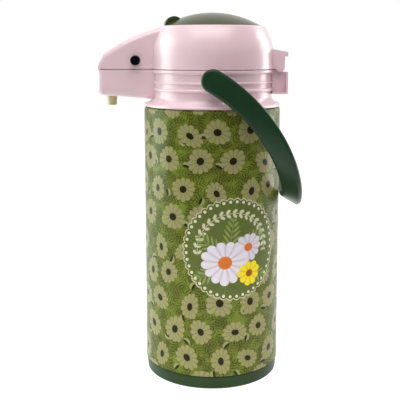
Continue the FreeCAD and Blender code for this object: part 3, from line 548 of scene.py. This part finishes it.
def bellows_points(foot, head, r_out, fold, pleats, wall):
    """Sleeve turned about Z, up outside and down inside: r_out - fold ((1 - cos 2 pi n t) / 2)^0.8."""
    steps_a_pleat, steps_round, inset = 24, 128, 1.4 * wall
    t = np.linspace(0, 1, steps_a_pleat * pleats + 1)
    radius = r_out - fold * (0.5 - 0.5 * np.cos(2 * np.pi * pleats * t)) ** 0.8
    z = foot + wall + (head - foot - 2 * wall) * t
    outside = np.stack([np.r_[r_out, radius, r_out], np.r_[foot, z, head]], -1)
    inside = np.stack([np.r_[r_out - fold, radius[::-1] - inset, r_out - fold],
                       np.r_[head, z[::-1], foot]], -1)
    profile = np.concatenate([outside, inside])
    angle = np.linspace(0, 2 * np.pi, steps_round, endpoint=False)
    ring = np.stack([np.cos(angle), np.sin(angle)], -1)
    return np.stack([profile[None, :, 0] * ring[:, :1], profile[None, :, 0] * ring[:, 1:],
                     np.broadcast_to(profile[:, 1], (steps_round, len(profile)))], -1)


low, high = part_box("bellows")
folds = bellows_points(low.z, high.z, high.x, BELLOWS_FOLD, BELLOWS_PLEATS, BELLOWS_WALL)
sleeve = piece("pump_bellows", folds, (True, True), silicone, "lid")
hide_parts("bellows")
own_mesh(sleeve)


# Springs: round steel wire wound open, with the last turn at each end closed and flat. The large one
# lifts the button; the two small ones push the release buttons out.

LIFT_R, LIFT_WIRE, LIFT_TURNS = 0.014, 0.0016, 6
PUSH_R, PUSH_WIRE, PUSH_TURNS = 0.0033, 0.0008, 5


def spring_points(radius, wire, turns, span):
    """Round wire along a helix about Z, whose rise eases to nothing in its first and last half turn."""
    steps_a_turn, steps_round = 40, 12
    t = np.linspace(0, 1, steps_a_turn * turns + 1)
    ease = np.clip(np.minimum(t, 1 - t) * turns * 2, 0, 1)
    rise = np.cumsum(ease)
    rise = (rise - rise[0]) / (rise[-1] - rise[0])
    angle = 2 * np.pi * turns * t
    spine = np.stack([radius * np.cos(angle), radius * np.sin(angle), wire / 2 + (span - wire) * rise], -1)
    along = np.gradient(spine, axis=0)
    along /= np.linalg.norm(along, axis=1, keepdims=True)
    outward = np.stack([np.cos(angle), np.sin(angle), np.zeros_like(angle)], -1)
    upward = np.cross(along, outward)
    upward /= np.linalg.norm(upward, axis=1, keepdims=True)
    turn = np.linspace(0, 2 * np.pi, steps_round, endpoint=False)[None, :, None]
    section = np.cos(turn) * outward[:, None] - np.sin(turn) * upward[:, None]
    return spine[:, None] + wire / 2 * section


low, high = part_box("pump_spring")
wound = spring_points(LIFT_R, LIFT_WIRE, LIFT_TURNS, high.z - low.z) + np.array([0, 0, low.z])
lift = piece("lift_spring", wound, (False, True), steel, "lid")
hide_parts("pump_spring")
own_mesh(lift)

for side, node_name in ((-1, "latch_spring_near"), (1, "latch_spring_far")):
    low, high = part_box(node_name)
    span = high.y - low.y
    inner = high.y if side < 0 else low.y
    wound = spring_points(PUSH_R, PUSH_WIRE, PUSH_TURNS, span)
    wound = np.stack([wound[..., 0] + (low.x + high.x) / 2, inner + side * wound[..., 2],
                      -side * wound[..., 1] + (low.z + high.z) / 2], -1)
    push = piece(node_name.replace("latch", "button"), wound, (False, True), steel, "lid")
    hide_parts(node_name)
    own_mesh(push)


# Pump button and its lock: a domed gloss green moulding that slides in the lid's opening, with the lock
# ring under it, whose half-moon tab stands up through a track in the dome.

MOSS = ink(64, 70, 28)
DEEP_MOSS = ink(56, 62, 23)
TAB_GREEN = ink(66, 81, 46)
DEEP_TAB = ink(60, 75, 41)
dress(plastic("dome_green", MOSS, DEEP_MOSS, rough=0.24, relief=0.000003, coat=0.09, gloss=0.24),
      "pump_button")
dress(plastic("tab_green", TAB_GREEN, DEEP_TAB, rough=0.28, relief=0.000003, coat=0.09, gloss=0.24),
      "lock_ring")


# Release buttons: small gloss black knobs, one on each side of the beak. Each is moulded in one piece
# with its hook, and slides in the lid's wall against its spring.

dress(plastic("knob_black", ink(12, 11, 12), ink(8, 8, 9), rough=0.24, coat=0.03, gloss=0.1),
      "release_button_near", "release_button_far")


# Handle: a dark green strap with rounded edges, moulded in one piece as a U. It hangs behind the pot and
# swings up on two pins that run in the collar's bosses, each held by a screw and a washer from inside.

STRAP_GREEN = ink(31, 62, 38)
DEEP_STRAP = ink(25, 54, 32)
dress(plastic("strap_green", STRAP_GREEN, DEEP_STRAP, rough=0.32, relief=0.000006, coat=0.1, gloss=0.18),
      "handle")


# Studio: a white sweep under and behind the pot, a tall soft box on each side, one above and in front,
# and a low card at the foot. The fill is even; gloss sees the white only behind the pot and near it.

SWEEP_HALF = 4.0
PAPER = 0.82
PAPER_GLOW = 0.76
FILL = 0.27
DARK_ROOM = 0.06
FLOOR_FADE = (-0.45, -0.1)
BACKDROP_FADE = (0.12, 0.3)

sheet = bpy.data.meshes.new("sweep")
sheet.from_pydata([(-SWEEP_HALF, -SWEEP_HALF, 0), (SWEEP_HALF, -SWEEP_HALF, 0),
                   (SWEEP_HALF, SWEEP_HALF, 0), (-SWEEP_HALF, SWEEP_HALF, 0)], [], [(0, 1, 2, 3)])
sweep = bpy.data.objects.new("sweep", sheet)
bpy.context.scene.collection.objects.link(sweep)
paper, tree, body = new_finish("white_paper")
ray = put(tree, "LightPath").outputs
depth = put(tree, "SeparateXYZ", {0: put(tree, "TexCoord").outputs["Object"]}).outputs[1]
in_gloss = work(tree, "MULTIPLY", ray["Is Glossy Ray"], ramp(tree, depth, *FLOOR_FADE))
mirrored = work(tree, "MAXIMUM", in_gloss, ray["Is Transmission Ray"])
seen = work(tree, "MAXIMUM", ray["Is Camera Ray"], mirrored)
feed(tree, body, {
    "Base Color": (PAPER, PAPER, PAPER, 1), "Roughness": 0.9, "Emission Color": (1, 1, 1, 1),
    "Emission Strength": work(tree, "MULTIPLY", seen, PAPER_GLOW)})
sheet.materials.append(paper)

world = bpy.data.worlds.new("studio")
bpy.context.scene.world = world
world.use_nodes = True
tree = world.node_tree
tree.nodes.clear()
ray = put(tree, "LightPath").outputs
mirrored = work(tree, "MAXIMUM", ray["Is Glossy Ray"], ray["Is Transmission Ray"])
way = put(tree, "SeparateXYZ", {0: put(tree, "TexCoord").outputs["Generated"]}).outputs
backdrop = ramp(tree, way[1], *BACKDROP_FADE, DARK_ROOM, 1.0)
fill, room, white = (put(tree, "Background", {"Color": (1, 1, 1, 1), "Strength": strength}).outputs[0]
                     for strength in (FILL, backdrop, 1.0))
lit = put(tree, "MixShader", {0: mirrored, 1: fill, 2: room})
shown = put(tree, "MixShader", {0: ray["Is Camera Ray"], 1: lit.outputs[0], 2: white})
put(tree, "OutputWorld", {0: shown.outputs[0]})


def soft_box(name, place, aim, width, tall, watts):
    """Rectangular lamp at a place, turned to face another."""
    lamp = bpy.data.lights.new(name, "AREA")
    lamp.shape = "RECTANGLE"
    lamp.size = width
    lamp.size_y = tall
    lamp.energy = watts
    made = bpy.data.objects.new(name, lamp)
    bpy.context.scene.collection.objects.link(made)
    made.location = place
    made.rotation_euler = (Vector(aim) - Vector(place)).to_track_quat("-Z", "Y").to_euler()
    return made


left_box = soft_box("soft_left", (-0.90, 0.13, 0.36), (0, 0, 0.2), width=0.64, tall=0.9, watts=7.3)
left_box.data.color = (0.85, 1.0, 0.95)
soft_box("soft_right", (0.82, 0.40, 0.36), (0, 0, 0.2), width=0.42, tall=0.9, watts=4.7)
soft_box("soft_top", (-0.05, -0.42, 1.16), (0, 0, 0.22), width=1.1, tall=0.8, watts=9.3)
low_card = soft_box("low_card", (0.0, -0.30, 0.02), (0, 0, 0.04), width=0.5, tall=0.12, watts=0.2)
low_card.data.spread = math.radians(80)
low_card.visible_camera = False
low_card.visible_glossy = False

CAMERA_TILT = 8.5
lens = bpy.data.cameras.new("camera")
lens.lens = 69.6
lens.sensor_width = 36.0
lens.shift_y = -0.088
camera = bpy.data.objects.new("camera", lens)
bpy.context.scene.collection.objects.link(camera)
camera.location = (-0.0116, -0.745, 0.313)
camera.rotation_euler = (math.radians(90 - CAMERA_TILT), 0, 0)
bpy.context.scene.camera = camera
bpy.context.scene.view_settings.view_transform = "Standard"
